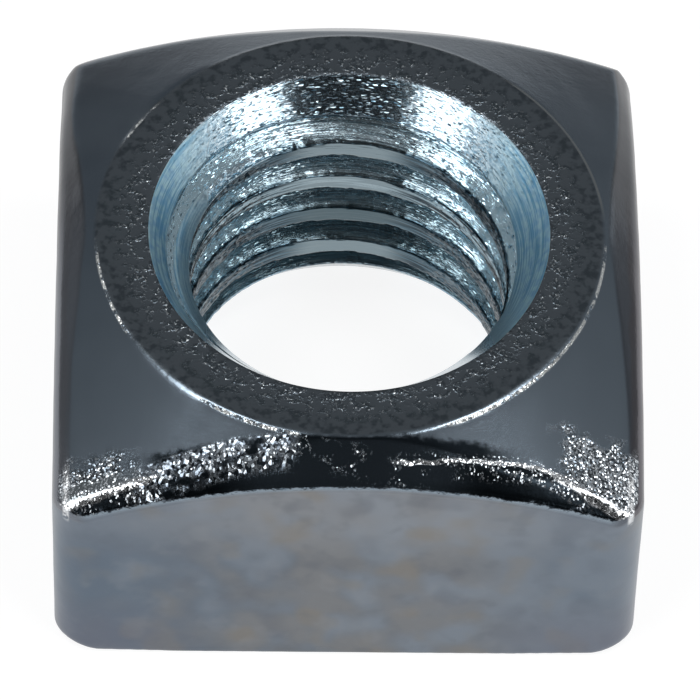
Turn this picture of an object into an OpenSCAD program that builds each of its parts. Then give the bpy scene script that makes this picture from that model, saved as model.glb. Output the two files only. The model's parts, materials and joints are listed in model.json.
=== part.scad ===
// Square nut with a conical crown, a flat ring on top and rolled upper edges.
// The part stands on its bearing face, with the bore on the Z axis. All sizes are in millimetres.

/* [Body] */
// Distance across the flats of the square
across_flats = 25.4; // [23:0.1:30]
// Height from the bearing face to the flat ring
height = 13.8; // [11:0.1:18]
// Radius on the four upright corners
corner_round = 1.6; // [0.5:0.1:3]

/* [Crown] */
// Outer diameter of the flat ring on top
ring_d = 22; // [19:0.1:23]
// Fall of the crown below the ring, in degrees
crown_angle = 30; // [20:1:35]
// Radius of the roll that turns the crown into a flat
edge_round = 1; // [0.4:0.1:1.6]
// How much more steeply than the crown the roll begins, in degrees
roll_break = 15; // [8:1:25]
// Depth of the roll below the sharp edge that crown and flat would make
roll_depth = 0.6; // [0.3:0.05:1]

/* [Base] */
// Reach of the cut on the four lower corners, in from the upright corner
corner_cut_w = 0.65; // [0.2:0.05:2]
// Height of the same cut, up the upright corner
corner_cut_h = 0.4; // [0.2:0.05:2]

/* [Bore] */
// Diameter across the thread crests
bore_d = 13.9; // [11:0.1:15]
// Mouth of the countersink on top
top_sink_d = 17.4; // [15.5:0.1:18.5]
// Mouth of the countersink in the bearing face
base_sink_d = 17.4; // [15.5:0.1:18.5]
// Included angle of both countersinks, in degrees
sink_angle = 70; // [50:1:100]

/* [Hidden] */

$fn = 120;
// Overlap of a cutter past the face it cuts
past = 1;

half = across_flats / 2;
// Reach of the sharp square corner from the axis
corner_r = half * sqrt(2);
// The crown cone meets a flat in a hyperbola. An arc through its top and its two ends stands in for it.
edge_sag = (corner_r - half) * tan(crown_angle);
edge_arc_r = (half * half + edge_sag * edge_sag) / (2 * edge_sag);
edge_top = height - (half - ring_d / 2) * tan(crown_angle) - roll_depth;
roll_slope = crown_angle + roll_break;
// Length from the sharp edge to where the roll touches the flat, and to where it touches the slope
roll_t = edge_round * tan((90 - roll_slope) / 2);
// Radius inside which the bearing face stays whole
bearing_r = corner_r - corner_round * (sqrt(2) - 1) - corner_cut_w;

// Plan of the body: a square with rounded corners.
module plan() {
    inner = half - corner_round;
    square([2 * half, 2 * inner], center = true);
    square([2 * inner, 2 * half], center = true);
    for (x = [-inner, inner], y = [-inner, inner])
        translate([x, y])
            circle(corner_round);
}

// Half section of the turned shape: lower corner cut, flat ring and crown cone.
module turned_profile() {
    outer = corner_r + past;
    polygon([
        [0, 0],
        [bearing_r, 0],
        [outer, (outer - bearing_r) * corner_cut_h / corner_cut_w],
        [outer, height - (outer - ring_d / 2) * tan(crown_angle)],
        [ring_d / 2, height],
        [0, height]
    ]);
}

// Half section of a disc that is as thick as the nut is wide. Its rim carries the roll on two opposite edges.
module rolled_profile() {
    foot = [edge_arc_r - roll_t, half];
    head = [edge_arc_r + roll_t * sin(roll_slope), half - roll_t * cos(roll_slope)];
    peak = edge_arc_r + half * tan(roll_slope);
    polygon([
        [0, -foot.y],
        [foot.x, -foot.y],
        [head.x, -head.y],
        [peak, 0],
        [head.x, head.y],
        [foot.x, foot.y],
        [0, foot.y]
    ]);
    for (side = [-1, 1])
        translate([foot.x, side * (half - edge_round)])
            circle(edge_round);
}

// The disc stands on edge, with its rim along the upper edges of the front and back flats.
module rolled_disc() {
    translate([0, 0, edge_top - edge_arc_r])
        rotate([90, 0, 0])
            rotate_extrude()
                rolled_profile();
}

// Cone that opens outward from the bore to the mouth of a countersink, with its mouth at z = 0.
module countersink(mouth_d) {
    depth = (mouth_d - bore_d) / 2 / tan(sink_angle / 2);
    widen = past * tan(sink_angle / 2);
    translate([0, 0, -depth - past])
        cylinder(h = depth + 2 * past, d1 = bore_d - 2 * widen, d2 = mouth_d + 2 * widen);
}

module nut() {
    color([0.45, 0.49, 0.53])
        difference() {
            intersection() {
                linear_extrude(height = height)
                    plan();
                rotate_extrude()
                    turned_profile();
                rolled_disc();
                rotate([0, 0, 90])
                    rolled_disc();
            }
            translate([0, 0, -past])
                cylinder(h = height + 2 * past, d = bore_d);
            translate([0, 0, height])
                countersink(top_sink_d);
            mirror([0, 0, 1])
                countersink(base_sink_d);
        }
}

nut();
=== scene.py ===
# %% [markdown]
# # A square nut with a crowned top
# The real thing is one lump of steel: a square block whose top is turned to a
# shallow cone, with a hole through it that is countersunk at both ends and
# threaded. It is then zinc plated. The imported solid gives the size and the
# place, so the lesson starts by loading it and keeping its box.

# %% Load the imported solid
import json
import math

import bmesh
import bpy
import numpy as np
from mathutils import Matrix, Vector, noise


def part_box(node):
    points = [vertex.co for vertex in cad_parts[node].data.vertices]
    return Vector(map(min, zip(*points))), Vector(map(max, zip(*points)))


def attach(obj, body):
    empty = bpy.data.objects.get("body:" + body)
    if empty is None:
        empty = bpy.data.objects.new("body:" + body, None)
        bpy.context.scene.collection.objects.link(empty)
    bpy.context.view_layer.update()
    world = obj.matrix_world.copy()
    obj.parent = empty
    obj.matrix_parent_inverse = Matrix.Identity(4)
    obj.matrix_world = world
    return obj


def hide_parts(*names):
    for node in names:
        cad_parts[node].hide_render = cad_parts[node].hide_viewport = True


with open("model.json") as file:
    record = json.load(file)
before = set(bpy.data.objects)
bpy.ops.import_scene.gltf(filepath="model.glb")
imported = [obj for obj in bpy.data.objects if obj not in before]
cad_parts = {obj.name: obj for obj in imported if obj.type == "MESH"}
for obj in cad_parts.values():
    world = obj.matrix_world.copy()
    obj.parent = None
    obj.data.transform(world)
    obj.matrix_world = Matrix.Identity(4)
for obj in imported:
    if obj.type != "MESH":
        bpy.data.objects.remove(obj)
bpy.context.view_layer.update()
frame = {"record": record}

# %% [markdown]
# ## Sizes
# A nut is described by few numbers. The width, the height and the bore come
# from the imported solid, so the dressed nut can't drift away from it. The
# others repeat the values that the solid was drawn with, and the thread has
# eleven turns to the inch.

# %% Sizes in metres
MM = 0.001
inch = 25.4 * MM
node_low, node_high = (Vector(corner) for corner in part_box("nut"))
half = (node_high.x - node_low.x) / 2
height = node_high.z - node_low.z
hole = next(m for m in frame["record"]["mounts"] if m["name"] == "thread")["dims"]
crest_r = hole["r_mm"] * MM
sink_depth = (height - hole["length_mm"] * MM) / 2
sink_slope = math.tan(math.radians(35))
mouth_r = crest_r + sink_depth * sink_slope
ring_r = 11.0 * MM
crown_slope = math.tan(math.radians(30))
corner_round = 1.6 * MM
edge_round = 1.0 * MM
roll_depth = 0.6 * MM
roll_angle = math.radians(45)
cut_reach, cut_rise = 0.65 * MM, 0.4 * MM
pitch = inch / 11
print("half width %.2f mm, height %.2f mm, mouth radius %.2f mm"
      % (half / MM, height / MM, mouth_r / MM))

# %% [markdown]
# ## A socket that can be used in a sum
# Both the thread and the finish are rules, and Blender writes rules as nodes.
# Dozens of Math nodes are hard to read, so one small class wraps a socket:
# an expression on two wires adds the node that works it out.

# %% The wire class
class Wire:
    """One socket of a node tree, which can stand in a Python expression."""

    def __init__(self, tree, socket=None):
        self.tree = tree
        self.socket = socket

    def add(self, kind, settings=None, inputs=None, output=0):
        node = self.tree.nodes.new(kind)
        for name, value in (settings or {}).items():
            setattr(node, name, value)
        for name, value in (inputs or {}).items():
            if isinstance(value, Wire):
                self.tree.links.new(value.socket, node.inputs[name])
            else:
                node.inputs[name].default_value = value
        return Wire(self.tree, node.outputs[output] if node.outputs else None)

    def out(self, name):
        """Another output of the same node."""
        return Wire(self.tree, self.socket.node.outputs[name])

    def math(self, operation, *others):
        return self.add("ShaderNodeMath", {"operation": operation},
                        dict(enumerate((self, *others))))

    def vector(self, operation, *others, output=0):
        return self.add("ShaderNodeVectorMath", {"operation": operation},
                        dict(enumerate((self, *others))), output)

    def __add__(self, other):
        return self.math("ADD", other)

    def __sub__(self, other):
        return self.math("SUBTRACT", other)

    def __mul__(self, other):
        return self.math("MULTIPLY", other)

    def __truediv__(self, other):
        return self.math("DIVIDE", other)

    def __radd__(self, other):
        return self + other

    def __rmul__(self, other):
        return self * other

    def __rsub__(self, other):
        return self.add("ShaderNodeMath", {"operation": "SUBTRACT"}, {0: other, 1: self})

    def ramp(self, low, high, start=0.0, end=1.0, kind="SMOOTHSTEP"):
        """Soft step from start to end while this value goes from low to high."""
        sockets = {"Value": self, "From Min": low, "From Max": high,
                   "To Min": start, "To Max": end}
        return self.add("ShaderNodeMapRange", {"interpolation_type": kind}, sockets)

    def line(self, low, high, start=0.0, end=1.0):
        """Straight line from start to end, held at both ends."""
        return self.ramp(low, high, start, end, "LINEAR")


print("wire class ready")

# %% [markdown]
# ## The thread
# A tap cuts one groove that winds up through the hole. Modelling it by hand
# would mean sweeping a profile along a helix and closing its two ends. Here a
# flat grid is bent into a tube instead, and each point asks how far round and
# how high it is: that alone says whether it lies on a crest, on a flank or in
# the groove. The countersinks cut the thread where they are wider than it. A
# little noise tears the crests, as a worn tap does.

# %% Sizes of the thread
columns = 336
thread_rows = 150
# The crest height is that of one crest at the back, a quarter turn round.
thread_sizes = {
    "Height": height, "Crest Radius": crest_r, "Groove Radius": 7.98 * MM,
    "Pitch": pitch, "Crest Height": 3.79 * MM, "Mouth Radius": mouth_r,
    "Sink Slope": sink_slope, "Tear": 0.05 * MM,
}
thread_counts = {"Columns": columns, "Rows": thread_rows, "Seed": 4}
# Where a crest ends and the groove begins, in pitches from the middle of the crest.
crest_end, groove_start = 0.19, 0.43
tear_fade = 1.5 * MM
print("thread: %.1f turns in the height" % (height / pitch))

# %% [markdown]
# ## The tree that bends the grid
# The tree takes every size as a named input, so another thread needs only
# other numbers. It also keeps how deep each point lies, from 0 on a crest to
# 1 in the groove, because the finish of the thread follows that depth.

# %% The thread as a Geometry Nodes tree
def thread_tree():
    tree = bpy.data.node_groups.new("thread_sleeve", "GeometryNodeTree")
    for kind, values in (("NodeSocketFloat", thread_sizes), ("NodeSocketInt", thread_counts)):
        for name, value in values.items():
            socket = tree.interface.new_socket(name, in_out="INPUT", socket_type=kind)
            socket.default_value = value
    tree.interface.new_socket("Material", in_out="INPUT", socket_type="NodeSocketMaterial")
    tree.interface.new_socket("Geometry", in_out="OUTPUT", socket_type="NodeSocketGeometry")
    given = Wire(tree).add("NodeGroupInput")

    grid = given.add("GeometryNodeMeshGrid", {}, {
        "Size X": 1.0, "Size Y": 1.0,
        "Vertices X": given.out("Columns") + 1, "Vertices Y": given.out("Rows") + 1})
    here = given.add("ShaderNodeSeparateXYZ", {}, {0: given.add("GeometryNodeInputPosition")})
    turn = here.out("X") + 0.5
    z = (here.out("Y") + 0.5) * given.out("Height")
    angle = turn * math.tau
    cos, sin = angle.math("COSINE"), angle.math("SINE")

    # Noise that is long along the groove and short across it.
    wound = z - turn * given.out("Pitch")
    place = given.add("ShaderNodeCombineXYZ", {}, {0: cos * 1.6, 1: sin * 1.6, 2: wound * (1 / MM)})
    tear = given.add("ShaderNodeTexNoise", {"noise_dimensions": "4D"}, {
        "Vector": place, "W": given.out("Seed"),
        "Scale": 1.6, "Detail": 4.0, "Roughness": 0.75}) - 0.5
    # The tube closes where the turn starts over, so the tear fades out there.
    tear = tear * turn.ramp(0.0, 0.02) * turn.ramp(1.0, 0.98)

    # Share of a pitch between this point and the middle of the nearest crest.
    lift = z / given.out("Pitch") - turn - given.out("Crest Height") / given.out("Pitch") + 0.75
    away = (lift.math("FRACT") - 0.5).math("ABSOLUTE")
    away = away + tear * away.ramp(0.16, 0.30, 0.42, 0.03)
    wall = away.line(crest_end, groove_start, given.out("Crest Radius"), given.out("Groove Radius"))
    inside = z.math("MINIMUM", given.out("Height") - z)
    wall = wall + tear * given.out("Tear") * 2.0 * inside.ramp(0.0, tear_fade)
    sink = given.out("Mouth Radius") - inside * given.out("Sink Slope")
    radius = wall.math("MAXIMUM", sink)

    # The depth is kept on the flat grid, before its points move.
    full_depth = given.out("Groove Radius") - given.out("Crest Radius")
    depth = (radius - given.out("Crest Radius")) / full_depth
    tube = given.add("GeometryNodeStoreNamedAttribute", {"data_type": "FLOAT", "domain": "POINT"},
                     {"Geometry": grid, "Name": "groove", "Value": depth})
    where = given.add("ShaderNodeCombineXYZ", {}, {0: radius * cos, 1: radius * sin, 2: z})
    tube = given.add("GeometryNodeSetPosition", {}, {"Geometry": tube, "Position": where})
    tube = given.add("GeometryNodeRealizeInstances", {}, {"Geometry": tube})
    tube = given.add("GeometryNodeSetMaterial", {},
                     {"Geometry": tube, "Material": given.out("Material")})
    given.add("NodeGroupOutput", {}, {"Geometry": tube})
    return tree


def thread_mesh(finish):
    """Evaluate the tree once and keep the result as a plain mesh."""
    tree = thread_tree()
    holder = bpy.data.objects.new("thread_maker", bpy.data.meshes.new("thread_maker"))
    bpy.context.scene.collection.objects.link(holder)
    bend = holder.modifiers.new("thread", "NODES")
    bend.node_group = tree
    socket = next(i for i in tree.interface.items_tree if i.name == "Material")
    bend[socket.identifier] = finish
    graph = bpy.context.evaluated_depsgraph_get()
    mesh = bpy.data.meshes.new_from_object(holder.evaluated_get(graph), depsgraph=graph)
    holder.modifiers.remove(bend)
    bpy.data.objects.remove(holder)
    return mesh


cut = bpy.data.materials.new("cut_thread")
cut.use_nodes = True
sleeve = thread_mesh(cut)
print("thread sleeve: %d points, %d faces" % (len(sleeve.vertices), len(sleeve.polygons)))

# %% [markdown]
# ## The outline of the block
# Seen from above the block is a square with rounded corners. A cube with a
# bevel would give that too. The shell is built from columns that run down its
# outside instead, one for each column of the thread, so that the two meet
# point by point. More columns go where the outline bends.

# %% Points round the outline
crowding = 1.35


def quarter_outline(flat_columns, arc_columns):
    """Plan points from the middle of the right flat to just before that of the back flat."""
    inner = half - corner_round
    climb = inner * (1 - (1 - np.linspace(0, 1, flat_columns + 1)[:-1]) ** crowding)
    arc = np.linspace(0, math.pi / 2, arc_columns + 1)[:-1]
    right = np.stack([np.full_like(climb, half), climb], 1)
    corner = np.stack([inner + corner_round * np.cos(arc), inner + corner_round * np.sin(arc)], 1)
    back = np.concatenate([[inner], climb[:0:-1]])
    return np.concatenate([right, corner, np.stack([back, np.full_like(back, half)], 1)])


quarter = quarter_outline(flat_columns=32, arc_columns=20)
turns = [quarter @ np.array([[math.cos(a), math.sin(a)], [-math.sin(a), math.cos(a)]])
         for a in (0, math.pi / 2, math.pi, 3 * math.pi / 2)]
outline = np.concatenate(turns)
outline_r = np.hypot(outline[:, 0], outline[:, 1])
outline_angle = np.unwrap(np.arctan2(outline[:, 1], outline[:, 0]))
assert len(outline) == columns
print("outline: %d points, widest %.2f mm" % (len(outline), outline_r.max() / MM))

# %% [markdown]
# ## The crown and its rolled edges
# The top is what is left under three surfaces: the flat ring, the cone that
# falls away from it, and the roll along each upper edge, where the steel was
# drawn down when the block was struck. Booleans could cut them, but they
# leave long thin faces that shade badly. Here the lowest surface wins at each
# point. The ring of the real nut sits a little to one side and ends in a
# small step, and a low torn lip stands at both ends of the front edge.

# %% Height of the top at any point
corner_r = half * math.sqrt(2)
edge_sag = (corner_r - half) * crown_slope
edge_arc = (half ** 2 + edge_sag ** 2) / (2 * edge_sag)
edge_top = height - (half - ring_r) * crown_slope - roll_depth
roll_touch = edge_round * math.tan((math.pi / 2 - roll_angle) / 2)
ring_middle = np.array([0.06, -0.14]) * MM
# Line of the torn lip along the front edge, in millimetres, and the lip's width and height.
ridge_points = ((-11.9, -12.14), (-8.6, -11.90), (-5.5, -11.43), (-2.0, -11.25),
                (2.0, -11.86), (7.9, -11.39), (12.3, -12.42))
lip_width, lip_height = 0.15, 0.08
# Stretches of the rim that are rubbed and carry a painted highlight, in degrees round the axis.
rubbed_and_lit_arcs = ((-176, -150), (-124, -102), (-68, -4), (141, 153))
# Steps down at the rim in millimetres: all round, where it is rubbed, and a finer one inside it.
rim_step, rubbed_step, fine_step = 0.015, 0.050, 0.035


def rolled(along, across):
    """Top of the disc whose rim carries the roll on two opposite edges."""
    out = np.abs(across)
    start = half - roll_touch * math.cos(roll_angle)
    slope = edge_arc + (half - out) * math.tan(roll_angle)
    bend = np.sqrt(np.maximum(edge_round ** 2 - (out - half + edge_round) ** 2, 0))
    rim = np.where(out <= start, slope, edge_arc - roll_touch + bend)
    return edge_top - edge_arc + np.sqrt(np.maximum(rim ** 2 - along ** 2, 0))


def within(way, start, end, soft=0.1):
    """1 between two angles and 0 outside them, with a soft passage at both."""
    return (np.clip((way - start) / soft + 0.5, 0, 1)
            * np.clip((end - way) / soft + 0.5, 0, 1))


def top_height(x, y):
    dx, dy = x - ring_middle[0], y - ring_middle[1]
    beyond, way = np.hypot(dx, dy) - ring_r, np.arctan2(dy, dx)
    rubbed_and_lit = sum(within(way, a, b) for a, b in np.radians(rubbed_and_lit_arcs))
    step = MM * (rim_step + rubbed_step * rubbed_and_lit) * np.clip(beyond / (0.10 * MM), 0, 1)
    # The finer step is only at the front right.
    there = np.clip(np.cos(way + math.radians(27)) * 8 - 7.2, 0, 1)
    step += fine_step * MM * there * np.clip((beyond + 0.36 * MM) / (0.06 * MM), 0, 1)
    cone = height - step - np.maximum(beyond, 0) * crown_slope
    # The lip stands up at the two corners.
    drop = np.interp(x / MM, *np.transpose(ridge_points)) - y / MM
    lip = np.clip((np.abs(x) / MM - 7.6) / 1.2, 0, 1) * np.exp(-(drop / lip_width) ** 2)
    return np.minimum(np.minimum(cone, rolled(x, y)), rolled(y, x)) + lip_height * MM * lip


print("top of the front edge: %.2f mm" % (edge_top / MM))

# %% [markdown]
# ## The shell
# Each column is a path: out over the ring, down the crown, round the roll,
# down the flat and back under the base. A path with sharp turns is first
# drawn finely and then smoothed, which rounds its edges as tumbling and
# plating do. A bevel would round them all alike, but the corners of the real
# nut are blunter than its edges, and the back left one most of all. Points
# are then spread along each path, more of them where it bends.

# %% Paths down the columns
leg_samples = 900


def column_paths():
    """Reach and height along each column, over the top, down the side and in under the base."""
    t = np.linspace(0, 1, leg_samples)[None, :]
    ray = np.stack([np.cos(outline_angle), np.sin(outline_angle)], 1)
    out_r = mouth_r + (outline_r[:, None] - mouth_r) * np.sin(t * math.pi / 2)
    out_z = top_height(out_r * ray[:, :1], out_r * ray[:, 1:])
    bearing_r = corner_r - corner_round * (math.sqrt(2) - 1) - cut_reach
    foot = np.maximum(outline_r - bearing_r, 0) * cut_rise / cut_reach
    down_z = out_z[:, -1:] + (foot[:, None] - out_z[:, -1:]) * t
    down_r = np.repeat(outline_r[:, None], t.size, 1)
    in_r = outline_r[:, None] + (mouth_r - outline_r[:, None]) * t
    in_z = np.maximum(in_r - bearing_r, 0) * cut_rise / cut_reach
    return (np.concatenate([out_r, down_r[:, 1:], in_r[:, 1:]], 1),
            np.concatenate([out_z, down_z[:, 1:], in_z[:, 1:]], 1))


raw_r, raw_z = column_paths()
print("paths: %d samples each" % raw_r.shape[1])

# %% [markdown]
# ## Smoothing and spreading
# The smoothing is counted in samples of an evenly drawn path. It is a plain
# average with soft weights: few samples on the edges and more near a corner,
# whose direction is given in degrees. The spreading then walks along the path
# with smaller steps in the bends, so that few points draw every edge cleanly.

# %% Smooth the paths and spread the points
body_rows = 134
path_samples = 1300
edge_blunt = 4
corner_blunt = {45: 3, 135: 14, 225: 6, 315: 6}
corner_share = 0.15
bend_blunt, bend_pull, bend_limit = 12, 0.5, 8.0


def spread(path_r, path_z, weight, count):
    """Points along a path at equal steps of its weighted length."""
    step = np.hypot(np.diff(path_r), np.diff(path_z)) * (weight[1:] + weight[:-1]) / 2
    run = np.concatenate([[0], np.cumsum(step)])
    mark = np.linspace(0, run[-1], count)
    return np.interp(mark, run, path_r), np.interp(mark, run, path_z)


def soften(path, width):
    """Gaussian smoothing that keeps both ends where they are."""
    pad = 3 * width
    kernel = np.exp(-0.5 * (np.arange(-pad, pad + 1) / width) ** 2)
    head, tail = 2 * path[0] - path[pad:0:-1], 2 * path[-1] - path[-2:-pad - 2:-1]
    return np.convolve(np.concatenate([head, path, tail]), kernel / kernel.sum(), "valid")


def blunting(angle):
    """Samples to smooth over in the column at this angle."""
    corner = max(corner_blunt, key=lambda degrees: math.cos(angle - math.radians(degrees)))
    near = max(0.0, 1 - (1 - abs(math.sin(2 * angle))) / corner_share)
    return edge_blunt + int(corner_blunt[corner] * near)


rows_r, rows_z = np.empty((columns, body_rows)), np.empty((columns, body_rows))
for k in range(columns):
    fine_r, fine_z = spread(raw_r[k], raw_z[k], np.ones(raw_r.shape[1]), path_samples)
    blunt = blunting(outline_angle[k])
    fine_r, fine_z = soften(fine_r, blunt), soften(fine_z, blunt)
    ahead_r, ahead_z = np.gradient(fine_r), np.gradient(fine_z)
    heading = np.unwrap(np.arctan2(ahead_z, ahead_r))
    bend = soften(np.abs(np.gradient(heading)) / np.hypot(ahead_r, ahead_z), bend_blunt)
    weight = 1 + bend_pull * np.minimum(bend * MM, bend_limit)
    rows_r[k], rows_z[k] = spread(fine_r, fine_z, weight, body_rows)
print("shell: %d columns of %d points" % (columns, body_rows))

# %% [markdown]
# ## Points of the shell
# The shell's first and last rows are the end loops of the thread sleeve, so
# the nut closes without a gap. Those loops are evenly spaced and the outline
# isn't, so the columns turn a little on their way across the ring. A slow
# wave of a few hundredths of a millimetre keeps the struck faces from looking
# machined. It only goes inward, so the nut doesn't outgrow its box.

# %% Place the points
# Waves as height in millimetres and turns of the noise to the millimetre.
slow_wave, quick_wave = (0.020, 0.28), (0.008, 0.9)
quick_start = Vector((7, 3, 5))
# The foot has no waves up to this height in millimetres.
still_foot = 0.3
same_height = 1e-7


def loop_at(mesh, z):
    """Points of a mesh at one height, in order round the axis."""
    points = np.array([v.co for v in mesh.vertices])
    points = points[np.abs(points[:, 2] - z) < same_height]
    angle = np.arctan2(points[:, 1], points[:, 0]) % math.tau
    loop = np.empty((columns, 3))
    loop[np.round(angle / (math.tau / columns)).astype(int) % columns] = points
    return loop


def shell_points():
    even = np.arange(columns) * math.tau / columns
    share = np.clip((rows_r - mouth_r) / (ring_r - 0.4 * MM - mouth_r), 0, 1)
    share = share * share * (3 - 2 * share)
    angle = even[:, None] + (outline_angle - even)[:, None] * share
    points = np.stack([rows_r * np.cos(angle), rows_r * np.sin(angle), rows_z], 2)
    for point, part in zip(points.reshape(-1, 3), share.reshape(-1)):
        p = Vector(point) / MM
        wave = (slow_wave[0] * noise.noise(p * slow_wave[1])
                + quick_wave[0] * noise.noise(p * quick_wave[1] + quick_start))
        outward = Vector((point[0], point[1], 0)).normalized()
        if p.z > still_foot:
            point[:] = point - np.array(outward) * (abs(wave) * MM * part)
    points[:, 0], points[:, -1] = loop_at(sleeve, height), loop_at(sleeve, 0.0)
    return points


points = shell_points()
print("shell points: %d" % (columns * body_rows))

# %% [markdown]
# ## One closed mesh
# Shell and sleeve share their end loops, so merging the doubled points makes
# them one skin. A boolean would do it as well, but it would cut new faces
# along the loops. In a skin without holes every edge has two faces, and all
# faces look outward.

# %% Join shell and sleeve
merge_distance = 2e-6
index = np.arange(columns * body_rows).reshape(columns, body_rows)
after = np.roll(index, -1, 0)
quads = np.stack([index[:, :-1], index[:, 1:], after[:, 1:], after[:, :-1]], 2).reshape(-1, 4)
shell = bpy.data.meshes.new("nut_shell")
shell.from_pydata(points.reshape(-1, 3).tolist(), [], quads.tolist())

bm = bmesh.new()
bm.from_mesh(sleeve)
for face in bm.faces:
    face.material_index = 1
bm.from_mesh(shell)
bmesh.ops.remove_doubles(bm, verts=bm.verts, dist=merge_distance)
bmesh.ops.recalc_face_normals(bm, faces=bm.faces)
if bm.calc_volume(signed=True) < 0:
    bmesh.ops.reverse_faces(bm, faces=bm.faces)
open_edges = sum(1 for e in bm.edges if len(e.link_faces) != 2)
for face in bm.faces:
    face.smooth = True
print("nut: %d triangles, %d open edges, %.2f cm3"
      % (2 * len(bm.faces), open_edges, bm.calc_volume() * 1e6))

# %% [markdown]
# ## The nut in the frame
# The mesh becomes one object with two finishes, plate outside and cut metal in
# the hole. How far each point tilts from level stays with the mesh, because
# the plate's finish depends on it. The object rides on the only body and
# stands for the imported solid.

# %% The nut as one object
nut_mesh = bpy.data.meshes.new("square_nut")
bm.to_mesh(nut_mesh)
bm.free()
zinc = bpy.data.materials.new("zinc_plate")
zinc.use_nodes = True
nut_mesh.materials.append(zinc)
nut_mesh.materials.append(cut)
nut = bpy.data.objects.new("square_nut", nut_mesh)
bpy.context.scene.collection.objects.link(nut)
tilts = nut_mesh.attributes.new("tilt", "FLOAT", "POINT")
tilts.data.foreach_set("value", [1 - v.normal.z for v in nut_mesh.vertices])
bpy.data.meshes.remove(sleeve)
bpy.data.meshes.remove(shell)

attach(nut, "root")
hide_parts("nut")
print("nut object: %d points, %d materials" % (len(nut_mesh.vertices), len(nut_mesh.materials)))

# %% [markdown]
# ## Where on the nut
# Bright zinc is a thin bluish metal, and it looks different on each part of
# the nut: satin on the flats, pitted on the ring, torn along the front edge
# and bright in the fresh-cut thread. One material covers the struck outside
# and one the cut hole. In both, masks say which look applies where. They come
# from the place on the nut in millimetres and from how far the surface tilts,
# so they stay with the steel from every side.

# %% Places and masks
def places(material):
    """Empty a material and give its wire and the place in millimetres, in several forms."""
    material.node_tree.nodes.clear()
    make = Wire(material.node_tree)
    place = make.add("ShaderNodeVectorMath", {"operation": "SCALE"},
                     {0: make.add("ShaderNodeTexCoord", output="Object"), "Scale": 1 / MM})
    x = make.add("ShaderNodeSeparateXYZ", {}, {0: place})
    y = x.out("Y")
    reach = (x * x + y * y).math("SQRT")
    return make, place, x, y, x.out("Z"), reach, x.math("ABSOLUTE")


make, place, x, y, z, reach, side = places(zinc)
tilt = make.add("ShaderNodeAttribute", {"attribute_name": "tilt"}, output="Fac")
flat = tilt.ramp(0.60, 0.80)
ring_edge, ring_z = ring_r / MM, height / MM
ring = reach.ramp(ring_edge - 0.1, ring_edge + 0.15, 1.0, 0.0) * z.ramp(ring_z - 0.4, ring_z - 0.1)
print("masks: %d nodes" % len(zinc.node_tree.nodes))

# %% [markdown]
# ## Noise, facets and blends
# Three kinds of unevenness are enough. Clouds drift slowly and tint the
# plate. Grain is the same noise made fine. Facets are small cells that each
# lean their own way, so on bright metal some of them flash and the others
# stay dark, which is how torn or crystalline metal sparkles.

# %% Helpers for the finish
def cloud(where, size, detail=1.0, rough=0.6):
    """Noise whose lumps are about one size in millimetres across."""
    return where.add("ShaderNodeTexNoise", {}, {
        "Vector": where, "Scale": 1 / size, "Detail": detail, "Roughness": rough})


def facets(where, size):
    """Height of cells that each lean their own way, and a random number for each cell.

    The height is in millimetres, and the cells lie in the first two directions of the place.
    """
    cell = where.add("ShaderNodeTexVoronoi", {"voronoi_dimensions": "2D"},
                     {"Vector": where, "Scale": 1 / size}, output="Color")
    middle = cell.out("Position")
    lean = cell.vector("MULTIPLY_ADD", (1, 1, 0), (-0.5, -0.5, 0))
    luck = where.add("ShaderNodeTexWhiteNoise", {"noise_dimensions": "2D"},
                     {"Vector": middle}, output="Value")
    return lean.vector("DOT_PRODUCT", where.vector("SUBTRACT", middle), output="Value"), luck


def moved(where, dx, dy, dz):
    """The same place, shifted, so that two noises don't repeat each other."""
    return where.vector("ADD", (dx, dy, dz))


def blend(share, first, second):
    """Colour that goes from the first to the second as the share goes from 0 to 1."""
    sockets = {0: share}
    for socket, colour in ((6, first), (7, second)):
        sockets[socket] = colour if isinstance(colour, Wire) else (*colour, 1.0)
    return share.add("ShaderNodeMix", {"data_type": "RGBA"}, sockets, output=2)


def metal(colour, rough, relief):
    """Close a material: bare metal with a relief in millimetres."""
    bump = relief.add("ShaderNodeBump", {}, {"Strength": 1.0, "Distance": MM, "Height": relief})
    plate = relief.add("ShaderNodeBsdfPrincipled", {}, {
        "Base Color": colour, "Metallic": 1.0, "Roughness": rough, "Normal": bump})
    relief.add("ShaderNodeOutputMaterial", {}, {"Surface": plate})


drift, lump, grain = cloud(place, 2.6), cloud(place, 0.42, 2.0), cloud(place, 0.13)
(chips, chip_luck), (glitter, luck) = facets(place, 0.12), facets(place, 0.06)
print("helpers: %d nodes" % len(zinc.node_tree.nodes))

# %% [markdown]
# ## Plain plate on the crown and the flats
# Plate that nothing has touched is smooth and only drifts a little in colour.
# The crown is a dark slate, with painted shade that makes it paler towards the front right and
# darkest at the back. The flats are lighter and satin, warm in the middle and blue towards the
# corners, with a purple tinge low down there and a few brown stains, where rinse water dried. One
# could paint all this on an unwrapped mesh. Layers of noise need no unwrapping and stay sharp close
# up.

# %% Crown and flats
dark_slate, pale_slate = (0.095, 0.124, 0.156), (0.240, 0.290, 0.340)
# Colour of the painted shade at the back of the crown.
back_slate_shade = (0.040, 0.052, 0.066)
deep_satin, pale_satin = (0.100, 0.128, 0.165), (0.172, 0.200, 0.235)
warm_grey, upper_grey = (0.168, 0.176, 0.186), (0.245, 0.262, 0.285)
brown_stain, dark_stain = (0.200, 0.178, 0.145), (0.110, 0.122, 0.145)
pale_mottle, dark_mottle = (0.225, 0.238, 0.255), (0.105, 0.118, 0.138)
corner_blue, corner_purple = (0.128, 0.165, 0.212), (0.130, 0.130, 0.165)

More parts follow.
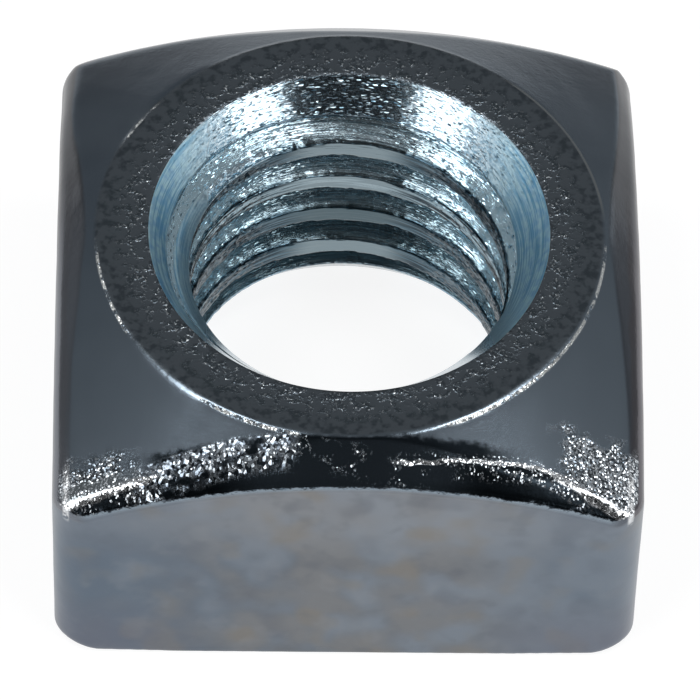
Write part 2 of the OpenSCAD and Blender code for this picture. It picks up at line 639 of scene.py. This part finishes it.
stain = cloud(moved(place, 5, 9, 2), 2.2)
mottle = cloud(moved(place, 2, 6, 4), 1.5, 2.0)
# Painted shade: the crown is paler towards the front right and darker towards the back, darkest at
# the very back.
shaded_slate = blend((x * 0.25 - y + drift * 6.0).ramp(-12.0, 17.0), dark_slate, pale_slate)
shaded_slate = blend(y.ramp(7.0, 12.0) * 0.6, shaded_slate, back_slate_shade)
satin = blend((x * 0.02 + drift).ramp(0.30, 0.70), deep_satin, pale_satin)
for share, tint in (
    (drift.ramp(0.65, 0.40) * side.ramp(11.0, 3.0), warm_grey),
    (z.ramp(6.5, 10.0) * 0.5, upper_grey),
    (stain.ramp(0.54, 0.72) * 0.45, brown_stain),
    (stain.ramp(0.46, 0.28) * 0.4, dark_stain),
    (mottle.ramp(0.50, 0.75) * 0.3, pale_mottle),
    (mottle.ramp(0.48, 0.28) * 0.3, dark_mottle),
    (side.ramp(4.0, 10.0) * 0.35, corner_blue),
    (side.ramp(5.0, 11.0) * z.ramp(4.5, 1.0) * 0.4, corner_purple),
):
    satin = blend(share, satin, tint)
colour = blend(flat, shaded_slate, satin)
rough = flat.line(0.0, 1.0, 0.20, 0.32)
relief = grain * 0.0022 + lump * 0.004
print("plain plate: %d nodes" % len(zinc.node_tree.nodes))

# %% [markdown]
# ## The rolled side edges
# On the left and the right the roll shows as a narrow strip. It goes from blue to a dull purple
# towards the outside. A painted sheen makes it paler on the left, and painted shade makes it nearly
# black towards the back. The tilt of the surface finds it, so the strip keeps its width along the
# bent edge.

# %% Side edges
edge_blue, edge_purple = (0.115, 0.128, 0.150), (0.122, 0.116, 0.126)
edge_left_sheen, edge_back_shade = (0.21, 0.23, 0.26), (0.048, 0.050, 0.056)

strip = side.ramp(11.0, 11.7) * tilt.ramp(0.17, 0.27) * tilt.ramp(0.97, 0.80)
edge = blend((side + drift * 0.4).ramp(12.2, 12.45), edge_blue, edge_purple)
# Painted sheen: the strip is paler on the left.
edge = blend(x.ramp(-11.0, -11.8) * 0.5, edge, edge_left_sheen)
# Painted shade: the strip goes nearly black towards the back.
colour = blend(strip * 0.95, colour, blend(y.ramp(-4.0, 5.0), edge, edge_back_shade))
print("side edges: %d nodes" % len(zinc.node_tree.nodes))

# %% [markdown]
# ## The pitted ring
# The ring round the hole was pressed hard by the piercing tool. Its inner
# half is full of pits and flecks that catch the light, and it gets smoother
# towards its rim. Pits as fine as these would cost millions of faces, so they
# are relief in the finish.

# %% Ring
ring_grey, pit_grey = (0.148, 0.172, 0.194), (0.084, 0.102, 0.118)
fleck_grey = (0.50, 0.53, 0.55)

inner = reach.ramp(10.6, 9.2) * ring
pits = lump.ramp(0.42, 0.64)
fleck = grain.ramp(0.58, 0.68) * lump.ramp(0.46, 0.56)
colour = blend(ring, colour, blend(pits, ring_grey, pit_grey))
colour = blend(inner * fleck, colour, fleck_grey)
rough = rough + ring * 0.06
relief = relief + ring * lump * 0.012 + inner * pits * (lump * 0.04 + glitter * 0.45)
print("ring: %d nodes" % len(zinc.node_tree.nodes))

# %% [markdown]
# ## The rubbed rim and its painted highlight
# Nuts rub against each other in the barrel, and the rim of the ring is the first thing to touch. It
# is bright in four stretches, the same ones where the mesh steps down most: partly rubbed metal,
# partly a painted highlight of the light that the step catches. A fifth stretch has a faint painted
# highlight.

# %% Rim
rim_faint_highlight, rim_wear_and_highlight = (0.36, 0.38, 0.38), (0.85, 0.87, 0.86)
arc_soft = math.radians(3)

rim_x, rim_y = x - ring_middle[0] / MM, y - ring_middle[1] / MM
rim_reach = (rim_x * rim_x + rim_y * rim_y).math("SQRT")
way = rim_y.math("ARCTAN2", rim_x)
rubbed_and_lit = sum((way.ramp(a - arc_soft, a + arc_soft) * way.ramp(b - arc_soft, b + arc_soft, 1.0, 0.0)
              for a, b in np.radians(rubbed_and_lit_arcs).tolist()), 0.0)
rim = (rim_reach - (ring_edge + 0.04)).math("ABSOLUTE").ramp(0.09, 0.03)
rim = rim * z.ramp(ring_z - 0.5, ring_z - 0.3)
faint = way.ramp(0.05, 0.2) * way.ramp(0.8, 0.95, 1.0, 0.0)
wear_and_highlight_patches = (lump + x.ramp(-6.0, 2.0) * 0.06).ramp(0.44, 0.54)
# Painted highlights on the rim: faint in one stretch, and bright, partly rubbed metal, in the four
# rubbed stretches.
colour = blend(rim * faint * 0.7, colour, rim_faint_highlight)
colour = blend(rim * rubbed_and_lit * wear_and_highlight_patches, colour, rim_wear_and_highlight)
relief = relief + rim * rubbed_and_lit * glitter * x.ramp(-6.0, 2.0, 0.9, 0.4)
print("rim: %d nodes" % len(zinc.node_tree.nodes))

# %% [markdown]
# ## The torn edge
# Where the block was struck, the skin of the steel folded over along the front edge and tore, most
# of all at its two corners, where the mesh has a lip. The fold's colour is painted shade along the
# same line: dark in front of it and, in the middle, a little behind it too. A separate strip of
# mesh could carry it, but a mask has no seam.

# %% Fold
fold_pale_shade, fold_deep_shade = (0.13, 0.17, 0.21), (0.020, 0.027, 0.034)

rip = cloud(moved(place, 3, 1, 8), 0.9, 1.0, 0.7)
ridge = (rip - 0.5) * 0.25 + ridge_points[0][1]
for (x0, y0), (x1, y1) in zip(ridge_points, ridge_points[1:]):
    ridge = ridge + x.line(x0, x1, 0.0, y1 - y0)
drop = ridge - y
skin = (1 - ring) * z.ramp(8.6, 9.6) * y.ramp(-10.6, -10.9)
skin = skin * (tilt + lump * 0.4).ramp(0.74, 0.80, 1.0, 0.0)
# Painted shade behind the line, in the middle of the edge.
shade_behind_line = (y + lump * 0.6).ramp(-10.5, -10.8) * x.ramp(-9.0, -8.0) * x.ramp(7.5, 5.5)
fold_shade = skin * drop.ramp(-0.04, 0.10).math("MAXIMUM", shade_behind_line)
shade = side.ramp(3.0, 6.0).math("MAXIMUM", tilt.ramp(0.30, 0.16))
# The fold's colour is painted shade: black at the sides and where it tilts less, greyer in the
# middle.
colour = blend(fold_shade, colour, blend(shade, fold_pale_shade, fold_deep_shade))
print("fold: %d nodes" % len(zinc.node_tree.nodes))

# %% [markdown]
# ## Flakes and dots
# Flakes stand on the left of the fold and finer dots on its right, with few
# of both in the middle. They are tiny facets, so they sparkle: black where
# they face the dark room and white where they face a lamp.

# %% Flakes and dots
flake_dark, flake_pale = (0.22, 0.26, 0.31), (0.46, 0.51, 0.56)
dot_grey = (0.60, 0.64, 0.68)

about = skin * drop.ramp(-0.65, -0.35) * drop.ramp(0.95, 0.55)
flakes = about * rip.ramp(0.32, 0.46) * x.ramp(-9.4, -8.4) * x.ramp(-2.0, -2.8)
flakes = flakes * chip_luck.ramp(0.20, 0.28)
dotted = (x.ramp(4.0, 6.5) + rip.ramp(0.47, 0.57) * 0.7).math("MINIMUM", 1.0)
dotted = dotted * x.ramp(10.6, 9.6) * drop.ramp(-0.35, -0.10)
dotted = dotted * drop.ramp(0.75, 0.30).math("MAXIMUM", x.ramp(4.5, 2.5))
dots = about * dotted * luck.ramp(0.78, 0.82)
colour = blend(flakes, colour, blend(lump.ramp(0.4, 0.6), flake_dark, flake_pale))
colour = blend(dots, colour, dot_grey)
relief = relief + flakes * chips * 0.7 + dots * glitter * 0.9
print("flakes and dots: %d nodes" % len(zinc.node_tree.nodes))

# %% [markdown]
# ## The ridge
# The ridge of the fold is bright, partly rubbed metal and partly a painted highlight: a thin line
# on the right of the middle, thick and smoother at both corners, where the lip stands up. It has
# the lip's own line, so the bright metal and its painted highlight lie on the raised metal.

# %% Ridge
ridge_wear_and_highlight = (0.78, 0.80, 0.82)

width = side.ramp(8.0, 9.4, 0.09, 0.24) + x.ramp(8.5, 10.5, 0.0, 0.10)
crest = skin * (drop.math("ABSOLUTE") / width).ramp(1.0, 0.5)
crest = crest * x.ramp(1.6, 2.4).math("MAXIMUM", side.ramp(8.0, 8.6))
# Painted highlight along the ridge, partly rubbed metal.
colour = blend(crest * grain.ramp(0.30, 0.42), colour, ridge_wear_and_highlight)
bumps = chips * side.ramp(8.0, 9.5, 0.25, 0.10) + glitter * side.ramp(8.0, 9.5, 0.5, 0.0)
relief = relief + crest * bumps
print("ridge: %d nodes" % len(zinc.node_tree.nodes))

# %% [markdown]
# ## Speckled corners
# Behind both ends of the ridge the skin broke up into specks. The left patch is calmer away from
# the ridge. A painted highlight runs as a bright streak down the outside of each corner, and the
# lower edge of the fold is ragged. This is the last layer, so the material is closed here.

# %% Corners
patch_dark, patch_calm = (0.10, 0.118, 0.135), (0.26, 0.29, 0.31)
speck_bright, streak_highlight = (0.66, 0.70, 0.74), (0.70, 0.72, 0.74)
streak_side = 12.08

patch = (side + rip * 2.5).ramp(10.0, 11.4)
patch = patch * (x.ramp(-6.0, 6.0) - y + rip * 2.0).ramp(11.4, 12.4)
patch = patch * drop.ramp(0.0, -0.1) * tilt.ramp(0.42, 0.36) * z.ramp(9.0, 9.6)
calm = x.ramp(6.0, -6.0) * drop.ramp(-0.75, -0.45)
specks = patch * (luck + patch * 0.25 + x.ramp(-6.0, 6.0, 0.0, 0.2)).ramp(0.91, 0.95)
# Painted highlight: a bright streak down the outside of each corner.
corner_highlight_streaks = (side - streak_side).math("ABSOLUTE").ramp(0.18, 0.06) * y.ramp(-10.2, -11.4)
corner_highlight_streaks = corner_highlight_streaks * z.ramp(9.2, 9.7) * lump.ramp(0.38, 0.48)
colour = blend(patch, colour, blend(calm, patch_dark, patch_calm))
colour = blend(specks, colour, speck_bright)
colour = blend(corner_highlight_streaks, colour, streak_highlight)
rough = rough - (crest + patch) * 0.08
relief = relief + patch * glitter * (0.9 - calm * 0.65) + corner_highlight_streaks * chips * 0.8
ragged = y.ramp(-11.0, -12.0) * tilt.ramp(0.40, 0.55) * tilt.ramp(0.80, 0.94, 1.0, 0.0)
relief = relief + ragged * (lump * 0.03 + grain * 0.005)
metal(colour, rough, relief)
print("outside finish: %d nodes" % len(zinc.node_tree.nodes))

# %% [markdown]
# ## Places in the hole
# Cutting leaves fine lines along the groove. They are noise that is stretched
# along the helix, and they lie about a tenth of a millimetre apart. The
# facets here lie on the wall of the hole, so one of their directions is the
# way round and the other the way up, and they are long along the groove.

# %% Lines and facets of the cut
facet_stretch = 0.45

make, place, x, y, z, reach, side = places(cut)
groove = make.add("ShaderNodeAttribute", {"attribute_name": "groove"}, output="Fac")
from_end = z.math("MINIMUM", height / MM - z)
sink = (mouth_r / MM - from_end * sink_slope - reach).math("ABSOLUTE").ramp(0.06, 0.12, 1.0, 0.0)
thread = 1 - sink
grain, lump = cloud(place, 0.13), cloud(place, 0.42)

round_it = x.math("ARCTAN2", y)
on_wall = make.add("ShaderNodeCombineXYZ", {},
                   {0: round_it * (crest_r / MM * facet_stretch), 1: z + reach})
glitter, luck = facets(on_wall, 0.065)
wound = z + round_it * (pitch / MM / math.tau)
along = make.add("ShaderNodeCombineXYZ", {},
                 {0: x * 0.3, 1: y * 0.3, 2: wound * 7.0 + reach * 9.0})
streak = cloud(along, 1.0, 2.0, 0.65)
print("lines of the cut: %d nodes" % len(cut.node_tree.nodes))

# %% [markdown]
# ## The finish of the thread
# Zinc on freshly cut steel has a clear blue cast. Painted shade makes the lower turns darker, and
# the crests low down and one crest half way up as well. The crests are smooth in the middle and
# lined at the sides, and the second one from the top is scored through. The flanks sparkle, and a
# painted reflection turns them a pale clear blue towards both sides.

# %% Thread
# The low colours carry painted shade.
shaded_low_shine, high_shine = (0.17, 0.24, 0.27), (0.56, 0.68, 0.74)
shaded_low_dull, high_dull = (0.08, 0.12, 0.145), (0.24, 0.33, 0.38)
flank_reflection = (0.62, 0.84, 0.95)
line_dark, line_pale = (0.025, 0.045, 0.060), (0.10, 0.16, 0.20)
crest_shade, crest_pale = (0.10, 0.14, 0.16), (0.22, 0.28, 0.31)
scored_z, crest_shade_z = 8.6, 6.3

scored = (z - scored_z).math("ABSOLUTE").ramp(1.2, 0.7) * streak.ramp(0.46, 0.54) * 0.5
top = groove.ramp(0.16, 0.06) * (1 - scored)
# Painted shade: the lower turns are darker.
shiny = blend(z.ramp(4.0, 12.0), shaded_low_shine, high_shine)
dull = blend(z.ramp(4.0, 12.0), shaded_low_dull, high_dull)
flank = blend(streak.ramp(0.35, 0.66), dull, shiny)
# Painted reflection: the flanks turn a pale clear blue towards both sides.
flank = blend(side.ramp(2.5, 6.5) * z.ramp(1.0, 8.0) * 0.85, flank, flank_reflection)
lines = blend(streak.ramp(0.44, 0.60), line_dark, line_pale)
# Painted shade on the crests low down and on one crest half way up.
crest_unshaded = (z - crest_shade_z).math("ABSOLUTE").ramp(0.6, 1.6) * z.ramp(2.9, 3.3)
plain = blend(crest_unshaded, crest_shade, crest_pale)
colour = blend(top, flank, blend((side + streak * 2.0).ramp(2.4, 4.2), plain, lines))
sparkle = glitter * luck.ramp(0.55, 0.80, 0.10, 0.8) * side.ramp(1.0, 3.5, 0.3, 1.0)
relief = thread * (streak * 0.024 + sparkle * (1 - top * side.ramp(4.6, 2.6)))
relief = relief + thread * top * glitter * side.ramp(3.0, 5.0, 0.0, 0.8)
print("thread finish: %d nodes" % len(cut.node_tree.nodes))

# %% [markdown]
# ## The finish of the countersinks
# The countersinks were drilled dry and are grainy. At the back, painted shade makes a dark field
# that is full of specks that flash, and on the two sides a painted reflection of the lamps makes a
# clear sky blue with fine lines. With them the second material is closed.

# %% Countersinks
sink_grey, sink_pale = (0.34, 0.46, 0.54), (0.52, 0.62, 0.68)
sink_back_shade, sink_deep = (0.15, 0.19, 0.22), (0.16, 0.46, 0.78)
reflection_blue, reflection_white = (0.27, 0.54, 0.72), (0.68, 0.92, 1.0)

mouth = blend(grain.ramp(0.35, 0.65), sink_grey, sink_pale)
# Painted shade: a dark field at the back, with specks left out of it.
mouth = blend(side.ramp(3.5, 1.5) * luck.ramp(0.84, 0.76), mouth, sink_back_shade)
# Painted reflection of the lamps on both sides.
side_reflection = blend(streak.ramp(0.40, 0.58), reflection_blue, reflection_white)
mouth = blend(side.ramp(5.5, 8.0), mouth, side_reflection)
mouth = blend(side.ramp(6.5, 8.2) * lump.ramp(0.34, 0.70) * 0.5, mouth, sink_deep)
colour = blend(sink, colour, mouth)
rough = 0.16 + sink * side.ramp(5.0, 7.5, 0.0, 0.26)
flash = luck.ramp(0.76, 0.86) * side.ramp(2.0, 4.0, 1.1, 0.5) + 0.16
relief = relief + sink * y.ramp(-1.0, 5.0) * (glitter * flash + lump * 0.012)
metal(colour, rough, relief)
print("finish of the hole: %d nodes" % len(cut.node_tree.nodes))

# %% [markdown]
# ## The floor
# The nut lies on a plain white table. Most of the table's white is its own
# for what the eye sees, in the metal too, and the rest is lit, so the shadow
# under the nut stays. More light would whiten it as well, but it would bleach
# the nut.

# %% Floor
floor_r = 0.16
# A hair below the nut, so that no two faces lie in one plane.
floor_z = -0.02 * MM
floor_mesh = bpy.data.meshes.new("table")
bm = bmesh.new()
bmesh.ops.create_circle(bm, cap_ends=True, radius=floor_r, segments=96,
                        matrix=Matrix.Translation((0, 0, floor_z)))
bm.to_mesh(floor_mesh)
bm.free()
floor = bpy.data.objects.new("table", floor_mesh)
bpy.context.scene.collection.objects.link(floor)
white = bpy.data.materials.new("white_table")
white.use_nodes = True
white.node_tree.nodes.clear()
make = Wire(white.node_tree)
path = make.add("ShaderNodeLightPath", output="Is Camera Ray")
seen = path.math("MAXIMUM", path.out("Is Glossy Ray"))
seen = seen.math("MAXIMUM", path.out("Is Transmission Ray"))
lit = make.add("ShaderNodeBsdfDiffuse", {}, {"Color": (0.8, 0.8, 0.8, 1)})
faint = make.add("ShaderNodeBsdfDiffuse", {}, {"Color": (0.2, 0.2, 0.2, 1)})
own = make.add("ShaderNodeEmission", {}, {"Color": (1, 1, 1, 1), "Strength": 0.88})
bright = make.add("ShaderNodeAddShader", {}, {0: faint, 1: own})
shown = make.add("ShaderNodeMixShader", {}, {0: seen, 1: lit, 2: bright})
make.add("ShaderNodeOutputMaterial", {}, {"Surface": shown})
floor_mesh.materials.append(white)
print("floor radius %.0f mm" % (floor.dimensions.x / 2 / MM))

# %% [markdown]
# ## The light
# A dim room, darkest at the front, with a large softbox at the front left and one at the front
# right, a weak low one on each side and two small lamps above. Metal shows what stands round it:
# the softboxes draw the bright lines on the torn edge, together with the highlights painted there,
# the small lamps light the thread, and the dim room leaves the crown dark, together with its
# painted shade.

# %% Room and lamps
room_level, front_level = 0.27, 0.05
world = bpy.data.worlds.new("dim_room")
bpy.context.scene.world = world
world.use_nodes = True
world.node_tree.nodes.clear()
make = Wire(world.node_tree)
direction = make.add("ShaderNodeTexCoord", output="Generated")
toward = make.add("ShaderNodeSeparateXYZ", {}, {0: direction})
front = toward.out("Y").ramp(-0.25, -0.75)
level = front.line(0, 1, room_level, front_level)
room = make.add("ShaderNodeBackground", {}, {"Color": (0.94, 0.97, 1.0, 1), "Strength": level})
make.add("ShaderNodeOutputWorld", {}, {"Surface": room})

aim = Vector((0, 0, height / 2))


def softbox(name, azimuth, elevation, distance, wide, tall, radiance):
    """Area lamp that looks at the nut from a direction given in degrees."""
    a, e = math.radians(azimuth), math.radians(elevation)
    back = Vector((math.cos(e) * math.cos(a), math.cos(e) * math.sin(a), math.sin(e)))
    data = bpy.data.lights.new(name, "AREA")
    data.shape = "RECTANGLE"
    data.size, data.size_y = wide, tall
    data.energy = radiance * math.pi * wide * tall
    lamp = bpy.data.objects.new(name, data)
    facing = back.to_track_quat("Z", "Y").to_matrix().to_4x4()
    lamp.matrix_world = Matrix.Translation(aim + back * distance) @ facing
    bpy.context.scene.collection.objects.link(lamp)


softbox("key_right", -41, 25, 0.5, 0.23, 0.34, 3.8)
softbox("key_left", 221, 25, 0.5, 0.23, 0.34, 3.8)
softbox("side_right", -12, 9, 0.5, 0.32, 0.16, 1.1)
softbox("side_left", 192, 9, 0.5, 0.32, 0.16, 1.1)
softbox("top_right", 0, 68, 0.6, 0.17, 0.17, 7.0)
softbox("top_left", 180, 70, 0.6, 0.17, 0.17, 7.0)
print("lamps: %d" % len(bpy.data.lights))

# %% [markdown]
# ## The camera
# The photograph was taken with a long lens from above the front edge. The
# camera stands on that line, and it looks slightly past the middle of the nut
# so that the nut lies in the frame as it does there. The angles and the lens
# come from fitting the outline of the nut to the one in the photograph.

# %% Camera
picture_px, sensor_mm = 700, 36
yaw, elevation, roll = (math.radians(v) for v in (-1.8115, 52.8146, 1.9733))
distance, focal_px, middle_px = 0.3162, 7175.1, (346.05, 326.61)
back = Vector((math.sin(yaw) * math.cos(elevation),
               -math.cos(yaw) * math.cos(elevation), math.sin(elevation)))
right = (-back).cross(Vector((0, 0, 1))).normalized()
up = right.cross(-back)
right, up = (math.cos(roll) * right + math.sin(roll) * up,
             math.cos(roll) * up - math.sin(roll) * right)
off_x, off_y = ((px - picture_px / 2) / focal_px for px in middle_px)
look = (-back - right * off_x + up * off_y).normalized()
across = look.cross(up).normalized()
facing = Matrix((across, across.cross(look), -look)).transposed().to_4x4()
eye = bpy.data.cameras.new("camera")
eye.sensor_width = sensor_mm
eye.lens = focal_px * sensor_mm / picture_px
eye.clip_start, eye.clip_end = 0.01, 10
camera = bpy.data.objects.new("camera", eye)
camera.matrix_world = Matrix.Translation(aim + back * distance) @ facing
bpy.context.scene.collection.objects.link(camera)
bpy.context.scene.camera = camera
bpy.context.scene.view_settings.view_transform = "Standard"
print("lens %.0f mm at %.0f mm" % (eye.lens, 1000 * distance))
